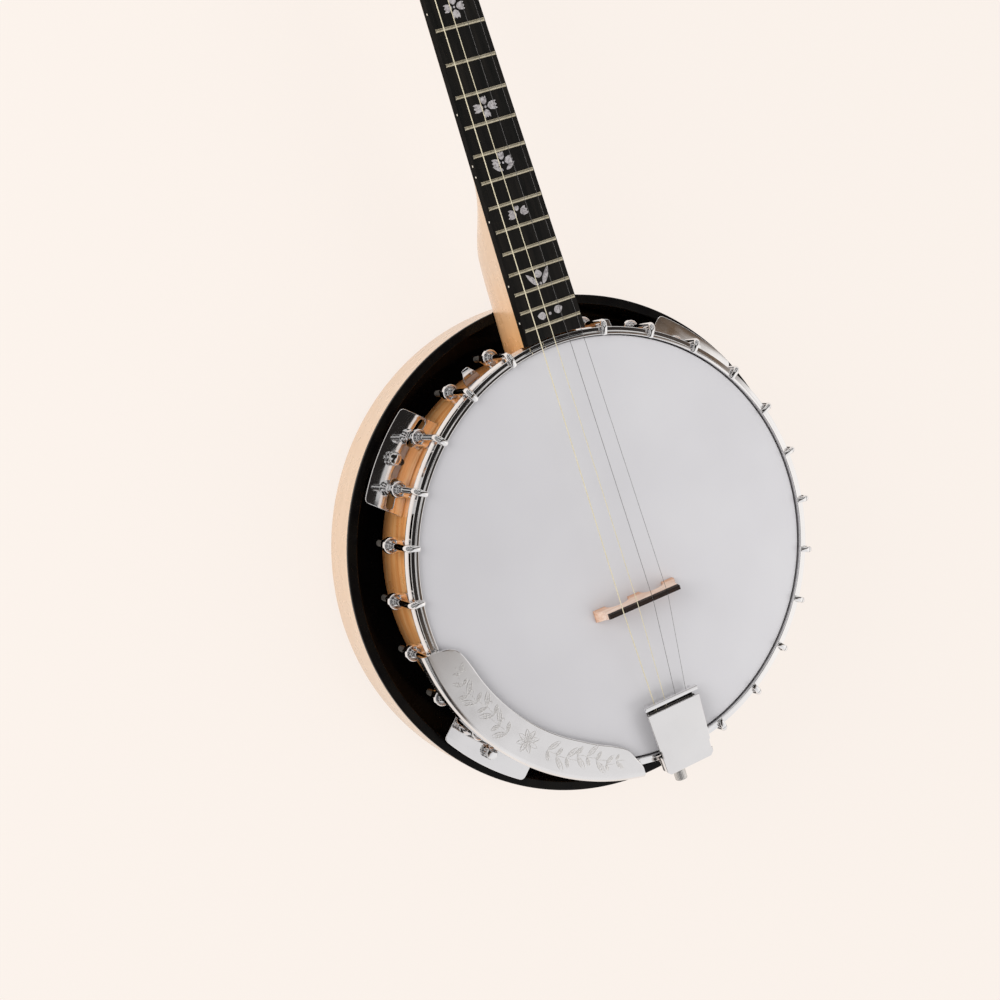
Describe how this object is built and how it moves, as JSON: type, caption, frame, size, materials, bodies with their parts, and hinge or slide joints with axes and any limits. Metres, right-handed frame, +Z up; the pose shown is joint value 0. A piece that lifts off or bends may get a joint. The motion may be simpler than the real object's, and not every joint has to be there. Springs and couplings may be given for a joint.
{
  "type": "tenor banjo",
  "caption": "Tenor banjo with a round maple pot and resonator, hooked tension hoop, fretted neck, floating bridge, engraved armrest, hinged tailpiece cover and turning tuners.",
  "frame": {"origin": "centre of the flat back of the resonator, on which the banjo lies", "axes": "+Z up from the back to the head, +Y along the neck to the headstock, +X to the player's treble side"},
  "size_m": [0.3438, 0.8441, 0.1116],
  "materials": {
    "maple": "satin lacquer",
    "ebony": "oiled, near black",
    "chrome": "polished",
    "brass": "polished",
    "skin": "frosted film",
    "bone": "polished bone",
    "steel": "plain wire and rod",
    "bronze": "wound wire"
  },
  "bodies": {
    "root": {"resonator": "maple", "rim": "maple", "tone_ring": "brass", "head": "skin", "tension_hoop": "chrome", "tension_hook_01": "chrome", "tension_hook_02": "chrome", "tension_hook_03": "chrome", "tension_hook_04": "chrome", "tension_hook_05": "chrome", "tension_hook_06": "chrome", "tension_hook_07": "chrome", "tension_hook_08": "chrome", "tension_hook_09": "chrome", "tension_hook_10": "chrome", "tension_hook_11": "chrome", "tension_hook_12": "chrome", "tension_hook_13": "chrome", "tension_hook_14": "chrome", "tension_hook_15": "chrome", "tension_hook_16": "chrome", "tension_hook_17": "chrome", "tension_hook_18": "chrome", "tension_hook_19": "chrome", "tension_hook_20": "chrome", "tension_hook_21": "chrome", "tension_hook_22": "chrome", "tension_hook_23": "chrome", "tension_hook_24": "chrome", "flange_plate_1": "chrome", "flange_plate_2": "chrome", "flange_plate_3": "chrome", "flange_plate_4": "chrome", "rim_tab_right": "chrome", "rim_tab_left": "chrome", "coordinator_rod": "steel", "armrest": "chrome", "tailpiece_bracket": "chrome", "bridge": "maple", "neck": "maple", "fingerboard": "ebony", "nut": "bone", "tuner_housing_1": "chrome", "tuner_housing_2": "chrome", "tuner_housing_3": "chrome", "tuner_housing_4": "chrome", "string_1": "bronze", "string_2": "bronze", "string_3": "steel", "string_4": "steel"},
    "tailpiece_cover": {"tailpiece_cover": "chrome"},
    "tailpiece_tension_nut": {"tailpiece_tension_nut": "chrome"},
    "thumb_screw_1": {"flange_thumb_screw_1": "chrome"},
    "thumb_screw_2": {"flange_thumb_screw_2": "chrome"},
    "thumb_screw_3": {"flange_thumb_screw_3": "chrome"},
    "thumb_screw_4": {"flange_thumb_screw_4": "chrome"},
    "tuner_1": {"tuner_post_and_button_1": "chrome"},
    "tuner_2": {"tuner_post_and_button_2": "chrome"},
    "tuner_3": {"tuner_post_and_button_3": "chrome"},
    "tuner_4": {"tuner_post_and_button_4": "chrome"}
  },
  "joints": [
    {"name": "tailpiece_cover_hinge", "type": "hinge", "parent": "root", "child": "tailpiece_cover", "pos_m": [0, -0.11205, 0.1031], "axis": [-1, 0, 0], "range_deg": [0, 95]},
    {"name": "tension_nut_turn", "type": "hinge", "parent": "root", "child": "tailpiece_tension_nut", "pos_m": [0, -0.162, 0.084], "axis": [0, -1, 0], "continuous": true},
    {"name": "thumb_screw_1_turn", "type": "hinge", "parent": "root", "child": "thumb_screw_1", "pos_m": [0.11752, 0.10411, 0.057], "axis": [0, 0, 1], "continuous": true},
    {"name": "thumb_screw_2_turn", "type": "hinge", "parent": "root", "child": "thumb_screw_2", "pos_m": [-0.11752, 0.10411, 0.057], "axis": [0, 0, 1], "continuous": true},
    {"name": "thumb_screw_3_turn", "type": "hinge", "parent": "root", "child": "thumb_screw_3", "pos_m": [0.11752, -0.10411, 0.057], "axis": [0, 0, 1], "continuous": true},
    {"name": "thumb_screw_4_turn", "type": "hinge", "parent": "root", "child": "thumb_screw_4", "pos_m": [-0.11752, -0.10411, 0.057], "axis": [0, 0, 1], "continuous": true},
    {"name": "tuner_1_turn", "type": "hinge", "parent": "root", "child": "tuner_1", "pos_m": [-0.0195, 0.58399, 0.08322], "axis": [0, 0.2062, 0.9785], "continuous": true},
    {"name": "tuner_2_turn", "type": "hinge", "parent": "root", "child": "tuner_2", "pos_m": [-0.017, 0.629, 0.07374], "axis": [0, 0.2062, 0.9785], "continuous": true},
    {"name": "tuner_3_turn", "type": "hinge", "parent": "root", "child": "tuner_3", "pos_m": [0.017, 0.629, 0.07374], "axis": [0, 0.2062, 0.9785], "continuous": true},
    {"name": "tuner_4_turn", "type": "hinge", "parent": "root", "child": "tuner_4", "pos_m": [0.0195, 0.58399, 0.08322], "axis": [0, 0.2062, 0.9785], "continuous": true}
  ]
}
